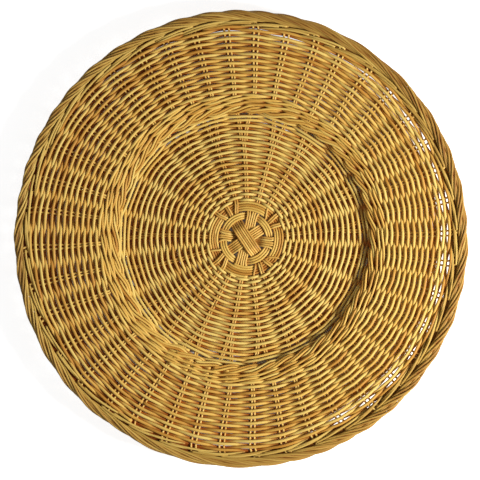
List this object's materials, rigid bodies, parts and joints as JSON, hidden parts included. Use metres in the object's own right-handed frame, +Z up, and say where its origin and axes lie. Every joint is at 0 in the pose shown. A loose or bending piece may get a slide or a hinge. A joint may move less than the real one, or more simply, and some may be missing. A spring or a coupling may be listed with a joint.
{
  "type": "charger plate",
  "caption": "Round woven cane charger plate with a flat well, a sloping wall, a wide, gently rising rim and a rolled border, laid under a dinner plate.",
  "frame": {"origin": "middle of the plate's underside, on the surface that it stands on", "axes": "+Z up along the plate's axis, out of the well; +X to the right of the picture and +Y to its top"},
  "size_m": [0.33, 0.33, 0.0245],
  "materials": {
    "stick_cane": "satin",
    "weaving_cane": "satin",
    "border_cane": "satin"
  },
  "bodies": {
    "root": {"base_stick_1": "stick_cane", "base_stick_2": "stick_cane", "base_stick_3": "stick_cane", "base_stick_4": "stick_cane", "base_stick_5": "stick_cane", "base_stick_6": "stick_cane", "base_stick_7": "stick_cane", "base_stick_8": "stick_cane", "base_stick_9": "stick_cane", "base_stick_10": "stick_cane", "base_stick_11": "stick_cane", "base_stick_12": "stick_cane", "base_stick_13": "stick_cane", "base_stick_14": "stick_cane", "base_stick_15": "stick_cane", "base_stick_16": "stick_cane", "base_stick_17": "stick_cane", "base_stick_18": "stick_cane", "base_stick_19": "stick_cane", "base_stick_20": "stick_cane", "base_stick_21": "stick_cane", "bye_stakes_1": "stick_cane", "bye_stakes_2": "stick_cane", "bye_stakes_3": "stick_cane", "bye_stakes_4": "stick_cane", "bye_stakes_5": "stick_cane", "bye_stakes_6": "stick_cane", "bye_stakes_7": "stick_cane", "bye_stakes_8": "stick_cane", "bye_stakes_9": "stick_cane", "bye_stakes_10": "stick_cane", "bye_stakes_11": "stick_cane", "bye_stakes_12": "stick_cane", "bye_stakes_13": "stick_cane", "bye_stakes_14": "stick_cane", "bye_stakes_15": "stick_cane", "bye_stakes_16": "stick_cane", "bye_stakes_17": "stick_cane", "bye_stakes_18": "stick_cane", "bye_stakes_19": "stick_cane", "bye_stakes_20": "stick_cane", "inner_binding_ring": "weaving_cane", "outer_binding_ring": "weaving_cane", "base_weaver_1": "weaving_cane", "base_weaver_2": "weaving_cane", "base_weaver_3": "weaving_cane", "wall_twining": "weaving_cane", "rim_weaver_1": "weaving_cane", "rim_weaver_2": "weaving_cane", "rim_weaver_3": "weaving_cane", "border_braid": "border_cane", "border_rope": "border_cane"}
  },
  "joints": []
}
